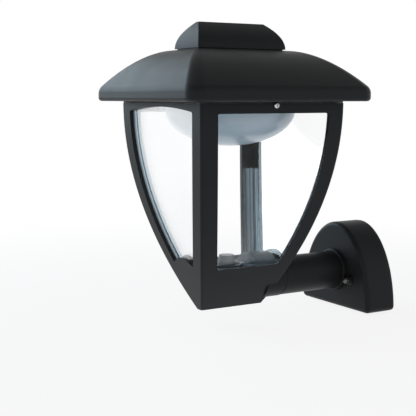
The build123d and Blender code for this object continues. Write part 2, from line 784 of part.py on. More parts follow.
# Light source: a round board with rings of chips
with BuildPart() as led_board:
    discs(underside(tray_z), [(0, 0)], board_radius, board_thickness)
    holes(underside(board_z), board_screw_places, board_fixing[2], board_thickness)
save(led_board, "led_board")

with BuildPart() as led_chips:
    with BuildSketch(underside(board_z)):
        for circle, count in chip_rings:
            with PolarLocations(circle, count):
                Rectangle(chip_size, chip_size)
    extrude(amount=chip_height)
save(led_chips, "led_chips")

with BuildPart() as led_board_screws:
    board_screw_length = board_thickness + tray_thickness - screw_end_gap
    pan_screws(underside(board_z), board_screw_places, board_fixing, board_screw_length)
save(led_board_screws, "led_board_screws")

# Driver on top of the tray
with BuildPart() as led_driver:
    with BuildSketch(level(roof_rim_z)):
        RectangleRounded(driver_foot_length, driver_foot_width, driver_corner_radius)
        with Locations(*driver_screw_places):
            Circle(driver_fixing[2], mode=Mode.SUBTRACT)
    extrude(amount=driver_foot_thickness)
    with BuildSketch(level(roof_rim_z)):
        RectangleRounded(driver_length, driver_width, driver_corner_radius)
    extrude(amount=driver_height)
    fillet(led_driver.faces().sort_by(Axis.Z)[-1].edges(), driver_edge_radius)
save(led_driver, "led_driver")

with BuildPart() as driver_screws:
    driver_screw_length = driver_foot_thickness + tray_thickness - screw_end_gap
    foot_top = level(roof_rim_z + driver_foot_thickness)
    pan_screws(foot_top, driver_screw_places, driver_fixing, driver_screw_length)
save(driver_screws, "driver_screws")
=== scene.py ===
# %% [markdown]
# # Outdoor coach light
# A four-sided lantern on a round arm: black painted castings, a clear sleeve inside them and a pale
# bowl under a hipped roof. Every construction piece comes packed from CAD, at its real size, and stays
# where it is. This notebook gives each one its finish, and models the pieces whose looks need more than
# a CAD solid holds: the sleeve's arched top, the bowl, threaded screws, domed nuts and the chips.

from math import cos, pi, radians, sin

import bmesh
import bpy
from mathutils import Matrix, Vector


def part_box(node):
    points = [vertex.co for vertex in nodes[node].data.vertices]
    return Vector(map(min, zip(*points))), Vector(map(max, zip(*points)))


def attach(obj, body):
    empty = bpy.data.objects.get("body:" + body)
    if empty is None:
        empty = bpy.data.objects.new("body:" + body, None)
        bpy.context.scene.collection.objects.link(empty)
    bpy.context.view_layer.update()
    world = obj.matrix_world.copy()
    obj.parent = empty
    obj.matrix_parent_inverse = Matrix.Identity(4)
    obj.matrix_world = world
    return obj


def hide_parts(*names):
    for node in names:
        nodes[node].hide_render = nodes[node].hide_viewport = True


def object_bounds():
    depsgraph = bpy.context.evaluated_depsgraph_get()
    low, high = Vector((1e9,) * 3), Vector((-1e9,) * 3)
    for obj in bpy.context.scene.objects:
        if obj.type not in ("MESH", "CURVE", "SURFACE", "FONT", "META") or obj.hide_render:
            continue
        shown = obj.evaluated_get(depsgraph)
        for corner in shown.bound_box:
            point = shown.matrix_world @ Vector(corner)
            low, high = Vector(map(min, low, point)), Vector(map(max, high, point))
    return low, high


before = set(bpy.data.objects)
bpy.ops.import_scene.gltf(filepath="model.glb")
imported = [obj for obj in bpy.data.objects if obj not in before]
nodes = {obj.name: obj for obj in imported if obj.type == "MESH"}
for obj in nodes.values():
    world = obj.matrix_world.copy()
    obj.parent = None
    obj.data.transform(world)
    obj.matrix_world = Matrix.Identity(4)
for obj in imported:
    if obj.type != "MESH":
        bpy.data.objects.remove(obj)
cad_low, cad_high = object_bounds()
print("CAD nodes:", len(nodes), "box:", [round(v, 4) for v in cad_high - cad_low])

# %% [markdown]
# ## Camera
# The lantern is seen from 58 degrees to its right and a little above its middle. A long lens keeps the
# sides of the roof nearly parallel. The camera stands level with the roof's rim and looks down by a few
# degrees, so the lower half of the lantern fills the lower half of the picture.

# %% Camera
axis_y = (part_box("roof")[0].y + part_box("roof")[1].y) / 2
camera_azimuth = radians(58.0)
camera_distance = 0.950
camera_height = 0.193
camera_pitch = radians(6.66)
camera_turn = radians(1.33)
camera_lens = 82.2

camera_data = bpy.data.cameras.new("camera")
camera_data.lens = camera_lens
camera_data.sensor_width = 36.0
camera_data.clip_start = 0.05
camera_data.clip_end = 30.0
camera = bpy.data.objects.new("camera", camera_data)
camera.location = (
    camera_distance * sin(camera_azimuth),
    axis_y - camera_distance * cos(camera_azimuth),
    camera_height,
)
camera.rotation_euler = (pi / 2 - camera_pitch, 0, camera_azimuth + camera_turn)
bpy.context.scene.collection.objects.link(camera)
bpy.context.scene.camera = camera
print("camera at", [round(v, 3) for v in camera.location])

# %% [markdown]
# ## Node helpers
# Materials and Geometry Nodes are both trees of nodes. These helpers keep the cells short: one adds a
# node and sets its inputs, one joins two sockets, and the others do sums on numbers and sockets.

# %% Node helpers
def add_node(tree, kind, **values):
    """Adds a node; a value whose name is an input sets that input, and any other sets a property."""
    node = tree.nodes.new(kind)
    for name, value in values.items():
        key = name.replace("_", " ")
        matches = [s for s in node.inputs if s.name.lower() == key.lower()]
        if matches:
            matches[0].default_value = value
        else:
            setattr(node, name, value)
    return node


def join(tree, source, target):
    """Joins an output socket to an input socket."""
    tree.links.new(source, target)


def fill(tree, node, values):
    """Gives a node's inputs their values in order; each value is a number or a socket."""
    for target, value in zip(node.inputs, values):
        if isinstance(value, (int, float)):
            target.default_value = value
        else:
            join(tree, value, target)


def calc(tree, operation, *values, clamp=False):
    """One Math node. Returns its result."""
    node = add_node(tree, "ShaderNodeMath", operation=operation, use_clamp=clamp)
    fill(tree, node, values)
    return node.outputs[0]


def product(tree, first, *others):
    """Two or more values multiplied."""
    for other in others:
        first = calc(tree, "MULTIPLY", first, other)
    return first


def spread(tree, value, from_low, from_high, to_low=0.0, to_high=1.0, smooth=False):
    """Maps a value from one range to another, clamped."""
    node = add_node(tree, "ShaderNodeMapRange")
    if smooth:
        node.interpolation_type = "SMOOTHSTEP"
    fill(tree, node, (value, from_low, from_high, to_low, to_high))
    return node.outputs[0]


print("node helpers: add_node, join, fill, calc, product, spread")

# %% [markdown]
# ## Material helpers
# A finish is a Principled shader with three things on top: a base colour that wanders between two close
# tones, a fine relief, and on the large castings a roughness that isn't the same everywhere. Patterns
# read Object coordinates, so they stay fixed to the piece from every side.

# %% Material helpers
def new_material(name, color, roughness, metallic=0.0):
    """A material with a Principled shader, and its tree."""
    material = bpy.data.materials.new(name)
    material.use_nodes = True
    tree = material.node_tree
    shader = tree.nodes["Principled BSDF"]
    shader.inputs["Base Color"].default_value = (*color, 1)
    shader.inputs["Roughness"].default_value = roughness
    shader.inputs["Metallic"].default_value = metallic
    material.diffuse_color = (*color, 1)
    return material, tree, shader


def object_noise(tree, scale, detail):
    """Noise on Object coordinates; the scale is in grains per metre."""
    coords = add_node(tree, "ShaderNodeTexCoord")
    noise = add_node(tree, "ShaderNodeTexNoise", scale=scale, detail=detail, roughness=0.5)
    join(tree, coords.outputs["Object"], noise.inputs["Vector"])
    return noise.outputs["Fac"]


def blended(tree, factor, first, second):
    """A colour between two colours."""
    mix = add_node(tree, "ShaderNodeMix", data_type="RGBA")
    colors = [s for s in mix.inputs if s.type == "RGBA"]
    for target, color in zip(colors, (first, second)):
        target.default_value = (*color, 1)
    join(tree, factor, mix.inputs["Factor"])
    return [s for s in mix.outputs if s.type == "RGBA"][0]


def tinted(tree, shader, factor, dark, light):
    """Base colour between two tones."""
    join(tree, blended(tree, factor, dark, light), shader.inputs["Base Color"])


def bumped(tree, shader, height, strength, distance):
    """Fine relief from a height."""
    bump = add_node(tree, "ShaderNodeBump", strength=strength, distance=distance)
    join(tree, height, bump.inputs["Height"])
    join(tree, bump.outputs["Normal"], shader.inputs["Normal"])


def dress(material, *names):
    """Gives CAD nodes a material."""
    for name in names:
        for material_slot in nodes[name].material_slots:
            material_slot.material = material
    print(material.name, "on", ", ".join(names))


print("material helpers: new_material, object_noise, blended, tinted, bumped, dress")

# %% [markdown]
# ## Black powder coat
# The castings carry a satin black powder coat. It is nearly flat in colour, but it isn't flat in
# surface: the powder melts into a very fine orange peel. Seen at a slant it goes slate blue-grey, while
# a face that looks at you stays nearly black. A paler base colour would lift every face alike, so the
# base stays black. A low specular level and a cool tint do the rest, because Fresnel makes the slanted
# reflection several times stronger than the straight one.

# %% Black powder coat
coat_roughness = 0.42
coat_smoothest = 0.37
coat_roughest = 0.48
coat_specular = 0.15
coat_tint = (0.70, 0.88, 1.0, 1)


def powder_coat(name, dark, light):
    """Satin powder coat with a fine orange peel."""
    material, tree, shader = new_material(name, dark, coat_roughness)
    shader.inputs["Specular IOR Level"].default_value = coat_specular
    shader.inputs["Specular Tint"].default_value = coat_tint
    patches = object_noise(tree, scale=38.0, detail=3.0)
    tinted(tree, shader, patches, dark, light)
    rough = spread(tree, patches, 0.0, 1.0, coat_smoothest, coat_roughest)
    join(tree, rough, shader.inputs["Roughness"])
    peel = object_noise(tree, scale=1100.0, detail=2.0)
    bumped(tree, shader, peel, strength=0.25, distance=0.0002)
    return material


black_coat = powder_coat("black_coat", (0.0145, 0.0142, 0.0145), (0.0190, 0.0186, 0.0190))
dress(black_coat, "lantern_frame", "roof", "roof_cap", "arm", "wall_plate")

# %% [markdown]
# ## The sleeve's half width
# The sleeve is one moulded piece whose four walls follow the frame's own curve: a parabola that is
# upright at the top and leans in towards the foot. Patterns on it have to know how far a point is from
# each wall. That could be painted on the mesh as an attribute, but the curve is one short sum, so the
# material works it out from the point's height.

# %% The sleeve's half width
sleeve_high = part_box("diffuser")[1]
frame_low, frame_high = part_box("lantern_frame")
sleeve_inset = frame_high.x - sleeve_high.x
keel_half_x = 0.005
keel_half_y = 0.036


def half_width(tree, height, narrow):
    """Half width of the sleeve at a height, as the frame's own law gives it."""
    wide = frame_high.x
    drop = calc(tree, "SUBTRACT", frame_high.z, height)
    share = calc(tree, "DIVIDE", drop, frame_high.z - frame_low.z)
    lean = calc(tree, "MULTIPLY", calc(tree, "POWER", share, 2.0), wide - narrow)
    return calc(tree, "SUBTRACT", wide - sleeve_inset, lean)


print("sleeve stands", round(sleeve_inset * 1000, 1), "mm inside the frame's outer face")

# %% [markdown]
# ## Painted reflection on the sleeve's corners
# A pale band is painted along the sleeve's corners as the white room's reflection, so a dark post
# behind one looks washed out. In the front half the painted band is even, and it reaches further on
# the front wall than on the side walls. In the back half the painted reflection stands only below a
# level line, in upright streaks. A point is near a corner when it is near both walls, so the larger of
# its two distances is the one that counts. The streaks are noise in one dimension, along that distance.

# %% Painted reflection on the sleeve's corners
# Sizes of the pale band that is painted on the corners as reflection.
front_blend = 0.002
reflection_band_edge = 0.001
side_reflection_reach = 0.0125
face_reflection_extra = 0.006
front_reflection_share = 0.5
back_reflection_reach = 0.0135
back_reflection_top = 0.1165
back_reflection_top_edge = 0.0015
streak_noise = (0.40, 0.60)
streak_shares = (0.02, 0.40)
face_streak_shift = 0.1


def streaks(tree, distance):
    """Streaks along a distance from a corner, each with its own share of painted reflection."""
    noise = add_node(tree, "ShaderNodeTexNoise", scale=250.0, detail=2.0, roughness=0.6)
    noise.noise_dimensions = "1D"
    join(tree, distance, noise.inputs["W"])
    return spread(tree, noise.outputs["Fac"], *streak_noise, *streak_shares)


def corner_painted_reflection(tree, x, y, z):
    """The share of painted reflection at a point, and 1 for the sleeve's front half."""
    from_axis = calc(tree, "SUBTRACT", y, axis_y)
    to_x = calc(tree, "SUBTRACT", half_width(tree, z, keel_half_x), calc(tree, "ABSOLUTE", x))
    to_y = calc(tree, "SUBTRACT", half_width(tree, z, keel_half_y), calc(tree, "ABSOLUTE", from_axis))
    to_corner = calc(tree, "MAXIMUM", to_x, to_y)
    on_face = calc(tree, "GREATER_THAN", to_x, to_y)
    front = spread(tree, from_axis, front_blend, -front_blend)
    back = calc(tree, "SUBTRACT", 1.0, front)

    front_reach = calc(tree, "MULTIPLY_ADD", on_face, face_reflection_extra, side_reflection_reach)
    past_reach = calc(tree, "SUBTRACT", to_corner, front_reach)
    front_band = spread(tree, past_reach, 0.0, -reflection_band_edge, smooth=True)
    front_reflection = product(tree, front_band, front, front_reflection_share)

    back_band = spread(tree, to_corner, back_reflection_reach, back_reflection_reach - reflection_band_edge, smooth=True)
    below_top = spread(tree, z, back_reflection_top, back_reflection_top - back_reflection_top_edge, smooth=True)
    streaked = streaks(tree, calc(tree, "MULTIPLY_ADD", on_face, face_streak_shift, to_corner))
    back_reflection = product(tree, back_band, below_top, streaked, back)
    return calc(tree, "ADD", front_reflection, back_reflection), front


# How far the painted reflection reaches on the front wall.
print("haze reaches", round((side_reflection_reach + face_reflection_extra) * 1000, 1), "mm on the front wall")

# %% [markdown]
# ## Clear plastic
# Light goes straight through a wall that faces you, and a wall that you see at a slant mirrors the
# white room, as the left pane does here. A glass shader could do it, but it would bend and dim what
# stands behind two walls. A thin sheet is enough: all that it shows is mirrored, and its alpha is the
# share that it shows. That share is small face on and grows with Layer Weight's Facing. It is smaller
# in the sleeve's back half, which leaves the view through it clear.

# %% Clear plastic
clear_roughness = 0.05
reflection_band_roughness = 0.6
full_reflection_band = 0.01
slant_power = 5.0
slant_gain = 12.0
least_mirrored = 0.010
most_mirrored = 0.5
back_mirror_share = 0.35


def mirror_share(tree, front):
    """The share of light that a wall mirrors, which grows with the slant."""
    weight = add_node(tree, "ShaderNodeLayerWeight", blend=0.5)
    slant = calc(tree, "MULTIPLY", calc(tree, "POWER", weight.outputs["Facing"], slant_power), slant_gain)
    limited = calc(tree, "MAXIMUM", calc(tree, "MINIMUM", slant, most_mirrored), least_mirrored)
    return calc(tree, "MULTIPLY", limited, spread(tree, front, 0.0, 1.0, back_mirror_share, 1.0))


def clear_plastic(name, color, reflection_color):
    """Clear plastic: see-through face on, mirror-like at a slant, and with a pale band of painted
    reflection at its corners.
    """
    material, tree, shader = new_material(name, color, clear_roughness, metallic=1.0)
    coords = add_node(tree, "ShaderNodeTexCoord")
    place = add_node(tree, "ShaderNodeSeparateXYZ")
    join(tree, coords.outputs["Object"], place.inputs[0])
    painted_reflection, front = corner_painted_reflection(tree, *place.outputs)
    alpha = calc(tree, "ADD", mirror_share(tree, front), painted_reflection, clamp=True)
    join(tree, alpha, shader.inputs["Alpha"])
    rough = spread(tree, painted_reflection, 0.0, full_reflection_band, clear_roughness, reflection_band_roughness)
    join(tree, rough, shader.inputs["Roughness"])
    # The corners take the colour of the painted reflection.
    tinted(tree, shader, spread(tree, painted_reflection, 0.0, full_reflection_band), color, reflection_color)
    return material


# The second colour is the pale painted reflection on the sleeve's corners.
clear_sleeve = clear_plastic("clear_sleeve", (0.975, 0.99, 1.0), (0.74, 0.88, 0.96))
print(clear_sleeve.name, "has", len(clear_sleeve.node_tree.nodes), "nodes")

# %% [markdown]
# ## Plain finishes inside and behind
# White painted sheet, moulded plastic, rubber, steel, zinc and brass. They share one recipe, so one
# function makes them all: a colour that wanders a little, and a fine grain. The grain is deepest on
# rubber, as its mould leaves it, and shallowest on metal.

# %% Plain finishes
tone_depth = 0.08


def grained(name, color, roughness, grain_scale, grain_depth, metallic=0.0):
    """A finish with a fine grain and slightly uneven colour."""
    material, tree, shader = new_material(name, color, roughness, metallic)
    tone = object_noise(tree, scale=60.0, detail=3.0)
    tinted(tree, shader, tone, [c * (1 - tone_depth) for c in color], color)
    grain = object_noise(tree, scale=grain_scale, detail=2.0)
    bumped(tree, shader, grain, strength=0.3, distance=grain_depth)
    return material


white_sheet = grained("white_sheet", (0.78, 0.79, 0.80), 0.35, 900.0, 0.0001)
# The wiring cover is a pale moulding. Its colour is darkened to stand for the shade inside the lantern:
# painted shade.
shade_darkened_moulding = grained("shade_darkened_moulding", (0.14, 0.175, 0.20), 0.30, 1500.0, 0.0001)
white_moulding = grained("white_moulding", (0.72, 0.72, 0.70), 0.45, 1500.0, 0.0001)
soft_rubber = grained("soft_rubber", (0.018, 0.018, 0.019), 0.7, 1800.0, 0.0002)
bright_steel = grained("bright_steel", (0.62, 0.62, 0.63), 0.22, 2500.0, 0.00002, metallic=1.0)
# Steel darkened to stand for the shade that the cap nuts sit in beside the arm: painted shade.
shade_darkened_steel = grained("shade_darkened_steel", (0.12, 0.125, 0.12), 0.30, 2500.0, 0.00002, metallic=1.0)
zinc_plate = grained("zinc_plate", (0.48, 0.50, 0.52), 0.34, 2000.0, 0.00003, metallic=1.0)
yellow_brass = grained("yellow_brass", (0.62, 0.43, 0.17), 0.28, 2000.0, 0.00003, metallic=1.0)
board_enamel = grained("board_enamel", (0.80, 0.81, 0.79), 0.3, 1200.0, 0.00005)
chip_phosphor = grained("chip_phosphor", (0.80, 0.60, 0.14), 0.4, 3000.0, 0.00005)

dress(white_sheet, "gear_tray")
dress(shade_darkened_moulding, "wiring_cover")
dress(white_moulding, "led_driver", "terminal_block")
dress(soft_rubber, "roof_gasket", "bowl_seal", "arm_seal", "wall_gasket", "cable_grommet")
dress(shade_darkened_steel, "stud_washers")
dress(zinc_plate, "arm_nut", "arm_washer", "wall_bracket")
dress(yellow_brass, "terminal_screws")
dress(board_enamel, "led_board")

# %% [markdown]
# ## Turned surfaces with Geometry Nodes
# Bowls, screws and domed nuts are all surfaces of revolution. The Spin tool or a Screw modifier could
# turn a drawn profile, but a thread's radius also changes with the angle, which neither of them does.
# Geometry Nodes can make both kinds from a flat grid: the grid's X becomes the angle and its Y the way
# along the profile. A strip is one stretch of the profile, and strips with the same number of steps
# around weld into one closed skin. A profile that starts at the bottom of the axis and runs outwards,
# up and back in gives faces that point outwards.

# %% Turned surfaces
weld_gap = 0.000004


def strip(tree, around, along, profile):
    """One strip of a turned skin. profile(share, angle) gives its radius and its height."""
    grid = add_node(tree, "GeometryNodeMeshGrid", size_x=1.0, size_y=1.0)
    grid.inputs["Vertices X"].default_value = around + 1
    if isinstance(along, int):
        grid.inputs["Vertices Y"].default_value = along + 1
    else:
        join(tree, along, grid.inputs["Vertices Y"])
    place = add_node(tree, "ShaderNodeSeparateXYZ")
    join(tree, add_node(tree, "GeometryNodeInputPosition").outputs[0], place.inputs[0])
    angle = calc(tree, "MULTIPLY_ADD", place.outputs["X"], 2 * pi, pi)
    share = calc(tree, "ADD", place.outputs["Y"], 0.5)
    radius, height = profile(share, angle)
    across = calc(tree, "MULTIPLY", radius, calc(tree, "COSINE", angle))
    forward = calc(tree, "MULTIPLY", radius, calc(tree, "SINE", angle))
    point = add_node(tree, "ShaderNodeCombineXYZ")
    fill(tree, point, (across, forward, height))
    bent = add_node(tree, "GeometryNodeSetPosition")
    join(tree, grid.outputs["Mesh"], bent.inputs["Geometry"])
    join(tree, point.outputs[0], bent.inputs["Position"])
    return bent.outputs["Geometry"]


def straight(tree, start, end):
    """A straight stretch of profile between two (radius, height) pairs of numbers or sockets."""

    def profile(share, angle):
        return [spread(tree, share, 0.0, 1.0, first, last) for first, last in zip(start, end)]

    return profile


def welded(tree, strips):
    """Joins strips and welds their shared edges."""
    joined = tree.nodes.new("GeometryNodeJoinGeometry")
    for piece in reversed(strips):
        join(tree, piece, joined.inputs[0])
    weld = add_node(tree, "GeometryNodeMergeByDistance", distance=weld_gap)
    join(tree, joined.outputs[0], weld.inputs["Geometry"])
    return weld.outputs["Geometry"]


print("turned surfaces: strip, straight, welded")

# %% [markdown]
# ## From a tree to a plain piece
# A tree runs as a modifier, with one input for each size of its piece and for its finish. The inputs
# are set by each socket's identifier before the object is first evaluated. The tree stands its shape on
# every point of a small mesh, turned to the direction that the point holds, so one tree serves a whole
# set of screws. The result becomes a plain mesh that rides on its body and stands for the CAD node.

# %% From a tree to a piece
sharp_angle = radians(38.0)


def new_tree(name, sizes):
    """A Geometry Nodes tree with named inputs, and its input and output nodes."""
    tree = bpy.data.node_groups.new(name, "GeometryNodeTree")
    face = tree.interface
    face.new_socket("Geometry", in_out="INPUT", socket_type="NodeSocketGeometry")
    for label, value in sizes.items():
        kind = "NodeSocketMaterial" if isinstance(value, bpy.types.Material) else "NodeSocketFloat"
        item = face.new_socket(label, in_out="INPUT", socket_type=kind)
        item.default_value = value
    face.new_socket("Geometry", in_out="OUTPUT", socket_type="NodeSocketGeometry")
    return tree, tree.nodes.new("NodeGroupInput"), tree.nodes.new("NodeGroupOutput")


def painted(tree, geometry, material, chosen=None):
    """Geometry with a material on all of its faces or on the chosen ones."""
    finish = tree.nodes.new("GeometryNodeSetMaterial")
    join(tree, geometry, finish.inputs["Geometry"])
    join(tree, material, finish.inputs["Material"])
    if chosen is not None:
        join(tree, chosen, finish.inputs["Selection"])
    return finish.outputs["Geometry"]


def on_points(tree, points, shape):
    """The shape on every point, turned to the point's direction, as real faces."""
    facing = add_node(tree, "GeometryNodeInputNamedAttribute", data_type="FLOAT_VECTOR", name="facing")
    turned = add_node(tree, "FunctionNodeAlignRotationToVector", axis="Z")
    join(tree, facing.outputs["Attribute"], turned.inputs["Vector"])
    placed = tree.nodes.new("GeometryNodeInstanceOnPoints")
    join(tree, points, placed.inputs["Points"])
    join(tree, shape, placed.inputs["Instance"])
    join(tree, turned.outputs["Rotation"], placed.inputs["Rotation"])
    real = tree.nodes.new("GeometryNodeRealizeInstances")
    join(tree, placed.outputs["Instances"], real.inputs["Geometry"])
    return real.outputs["Geometry"]


def grown(name, tree, points, axes, sizes):
    """Runs a tree on points, each with the direction that its piece faces. Returns a plain object."""
    base = bpy.data.meshes.new(name + "_points")
    base.from_pydata([tuple(p) for p in points], [], [])
    facing = base.attributes.new("facing", "FLOAT_VECTOR", "POINT")
    for entry, axis in zip(facing.data, axes):
        entry.vector = axis
    piece = bpy.data.objects.new(name, base)
    bpy.context.scene.collection.objects.link(piece)
    modifier = piece.modifiers.new(tree.name, "NODES")
    modifier.node_group = tree
    for item in tree.interface.items_tree:
        if item.in_out == "INPUT" and item.name in sizes:
            modifier[item.identifier] = sizes[item.name]
    bpy.context.view_layer.update()
    mesh = bpy.data.meshes.new_from_object(piece.evaluated_get(bpy.context.evaluated_depsgraph_get()))
    piece.modifiers.clear()
    piece.data = mesh
    mesh.name = name
    mesh.shade_smooth()
    mesh.set_sharp_from_angle(angle=sharp_angle)
    return piece


def hand_over(piece, body, slot_name, node):
    """The piece rides on a body and stands for a CAD node; slot_name is not used."""
    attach(piece, body)
    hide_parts(node)
    print(piece.name, len(piece.data.vertices), "points, for", node)


print("piece helpers: new_tree, painted, on_points, grown, hand_over")

# %% [markdown]
# ## Arched top of the sleeve
# The front and back windows have arched heads. A sleeve that is cut off level leaves a thin crescent of
# open air under each arch, so its front and back walls rise to fill it. A copy of the CAD's sleeve is
# welded and cut across by upright planes, which gives its top edge enough points, and then that edge
# is lifted along a parabola. Lifting points keeps the walls in their own curve and the skin closed.

# %% Arched sleeve
arch_rise = 0.0052
arch_reach = 0.072
arch_cuts = 23
cut_gap = 0.000002
top_band = 0.0001
wall_band = 0.003


def arched_sleeve():
    """A copy of the sleeve whose front and back walls follow the windows' arches."""
    build = bmesh.new()
    build.from_mesh(nodes["diffuser"].data)
    bmesh.ops.remove_doubles(build, verts=build.verts, dist=cut_gap)
    for i in range(arch_cuts + 1):
        cut_x = arch_reach * (2 * i / arch_cuts - 1)
        everything = build.verts[:] + build.edges[:] + build.faces[:]
        bmesh.ops.bisect_plane(
            build, geom=everything, dist=cut_gap, plane_co=(cut_x, 0, 0), plane_no=(1, 0, 0)
        )
    top_z = sleeve_high.z - top_band
    wall_y = sleeve_high.y - axis_y - wall_band
    for vertex in build.verts:
        on_wall = abs(vertex.co.y - axis_y) > wall_y
        if on_wall and vertex.co.z > top_z and abs(vertex.co.x) < arch_reach:
            vertex.co.z += arch_rise * (1 - (vertex.co.x / arch_reach) ** 2)
    mesh = bpy.data.meshes.new("sleeve")
    build.to_mesh(mesh)
    print("sleeve closed:", all(edge.is_manifold for edge in build.edges), len(build.faces), "faces")
    build.free()
    mesh.materials.clear()
    mesh.materials.append(clear_sleeve)
    mesh.shade_smooth()
    mesh.set_sharp_from_angle(angle=sharp_angle)
    piece = bpy.data.objects.new("sleeve", mesh)
    bpy.context.scene.collection.objects.link(piece)
    return piece


sleeve = arched_sleeve()
hand_over(sleeve, "lantern", "clear_pane", "diffuser")

# %% [markdown]
# ## Milky plastic
# The bowl is moulded from a milky plastic with a glossy skin: light enters it and comes out nearby, so
# its shaded side is never quite dark. A plain white paint would leave that side grey. A little
# Subsurface lets the light through, and a faint ripple breaks up the reflections as a moulding does.

# %% Milky plastic
bowl_gloss = 0.20
light_inside = 0.15
light_reach = 0.004
cloud_tone = 0.97


def milky_plastic(name, color, roughness):
    """Milky plastic with a little light inside it."""
    material, tree, shader = new_material(name, color, roughness)
    shader.inputs["Subsurface Weight"].default_value = light_inside
    shader.inputs["Subsurface Scale"].default_value = light_reach
    clouds = object_noise(tree, scale=30.0, detail=2.0)
    tinted(tree, shader, clouds, [c * cloud_tone for c in color], color)
    ripple = object_noise(tree, scale=120.0, detail=1.0)
    bumped(tree, shader, ripple, strength=0.05, distance=0.0003)
    return material


bowl_milk = milky_plastic("bowl_milk", (0.56, 0.69, 0.79), bowl_gloss)
print(bowl_milk.name, "has", len(bowl_milk.node_tree.nodes), "nodes")

# %% [markdown]
# ## Pale bowl
# The bowl under the roof spreads the light. It is half an ellipse turned about the lantern's axis, with
# a straight neck that snaps into the tray. Its outline is the same all round, so it is a turned surface:
# the outer dish from the bottom of the axis to the rim, the neck's four short edges, and the inner dish
# back to the axis.

# %% Pale bowl
bowl_low, bowl_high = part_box("light_bowl")
bowl_rise = 0.0058
bowl_widest = bowl_high.z - bowl_rise
bowl_sizes = {
    "Radius": (bowl_high.x - bowl_low.x) / 2,
    "Depth": bowl_widest - bowl_low.z,
    "Neck": 0.0623,
    "Rise": bowl_rise,
    "Wall": 0.0021,
    "Finish": bowl_milk,
}
bowl_steps = 128
outer_rows = 40
inner_rows = 36


def dish(tree, radius, depth, start, end):
    """Profile of half an ellipse, from one angle off its pole to another."""

    def profile(share, angle):
        turn = spread(tree, share, 0.0, 1.0, start, end)
        across = calc(tree, "MULTIPLY", radius, calc(tree, "SINE", turn))
        return across, product(tree, depth, calc(tree, "COSINE", turn), -1.0)

    return profile


def bowl_tree():
    """Turned bowl with a neck, all in one closed skin."""
    tree, given, out = new_tree("turned_bowl", bowl_sizes)
    size = given.outputs
    bore = calc(tree, "SUBTRACT", size["Neck"], size["Wall"])
    inner_depth = calc(tree, "SUBTRACT", size["Depth"], size["Wall"])
    corners = [
        (size["Radius"], 0.0),
        (size["Neck"], 0.0),
        (size["Neck"], size["Rise"]),
        (bore, size["Rise"]),
        (bore, 0.0),
    ]
    outside = dish(tree, size["Radius"], size["Depth"], 0.0, pi / 2)
    inside = dish(tree, bore, inner_depth, pi / 2, 0.0)
    strips = [strip(tree, bowl_steps, outer_rows, outside)]
    for start, end in zip(corners, corners[1:]):
        strips.append(strip(tree, bowl_steps, 1, straight(tree, start, end)))
    strips.append(strip(tree, bowl_steps, inner_rows, inside))
    placed = on_points(tree, size["Geometry"], welded(tree, strips))
    join(tree, painted(tree, placed, size["Finish"]), out.inputs["Geometry"])
    return tree


up = (0, 0, 1)
bowl = grown("bowl", bowl_tree(), [(0, axis_y, bowl_widest)], [up], bowl_sizes)
hand_over(bowl, "roof_set", "opal_bowl", "light_bowl")

# %% [markdown]
# ## Rolled threads
# A thread winds round its shank like a stair. It could be a small triangle swept along a helix, but
# that leaves a seam on the shank. Here the shank itself is a strip whose radius rises and falls with
# the height minus the angle, which draws a true helix in one skin. The groove fades at both ends, so
# the thread closes on a plain edge.

# %% Rolled threads
groove_depth = 0.5
crest_end = 0.15
root_start = 0.9
thread_fade = 0.04
rows_per_turn = 7.0
spare_rows = 4.0


def thread_profile(tree, radius, pitch, top, length):
    """Profile of a rolled thread that runs up to a height."""

    def profile(share, angle):
        below_top = calc(tree, "MULTIPLY", length, calc(tree, "SUBTRACT", 1.0, share))
        height = calc(tree, "SUBTRACT", top, below_top)
        turn = calc(tree, "DIVIDE", angle, 2 * pi)
        phase = calc(tree, "FRACT", calc(tree, "SUBTRACT", calc(tree, "DIVIDE", height, pitch), turn))
        valley = calc(tree, "ABSOLUTE", calc(tree, "MULTIPLY_ADD", phase, 2.0, -1.0))
        groove = product(tree, spread(tree, valley, crest_end, root_start), pitch, groove_depth)
        start = spread(tree, share, 0.0, thread_fade)
        end = spread(tree, share, 1.0, 1.0 - thread_fade)
        return calc(tree, "SUBTRACT", radius, product(tree, groove, start, end)), height

    return profile


def rows_of(tree, length, pitch):
    """How many points a thread's strip needs along it."""
    count = calc(tree, "MULTIPLY", calc(tree, "DIVIDE", length, pitch), rows_per_turn)
    whole = add_node(tree, "FunctionNodeFloatToInt")
    join(tree, calc(tree, "ADD", count, spare_rows), whole.inputs[0])
    return whole.outputs[0]


print("a thread has", int(rows_per_turn), "rows of points for each turn")

# %% [markdown]
# ## Pan-head screws
# Every screw is a pan head with a cross recess and a rolled thread. Cutting the recess with a Boolean
# would leave ragged faces in so small a head. The head is a turned surface like the shank, and its
# middle sinks where a point is near one of two crossed lines.

# %% Pan head
shoulder_rows = 9
recess_rows = 14
head_curve = 3.0
shoulder_crowding = 2.2
recess_edge = 0.62
slot_sides = (0.17, 0.10)
slot_ends = (0.56, 0.26)
recess_depth = 0.6


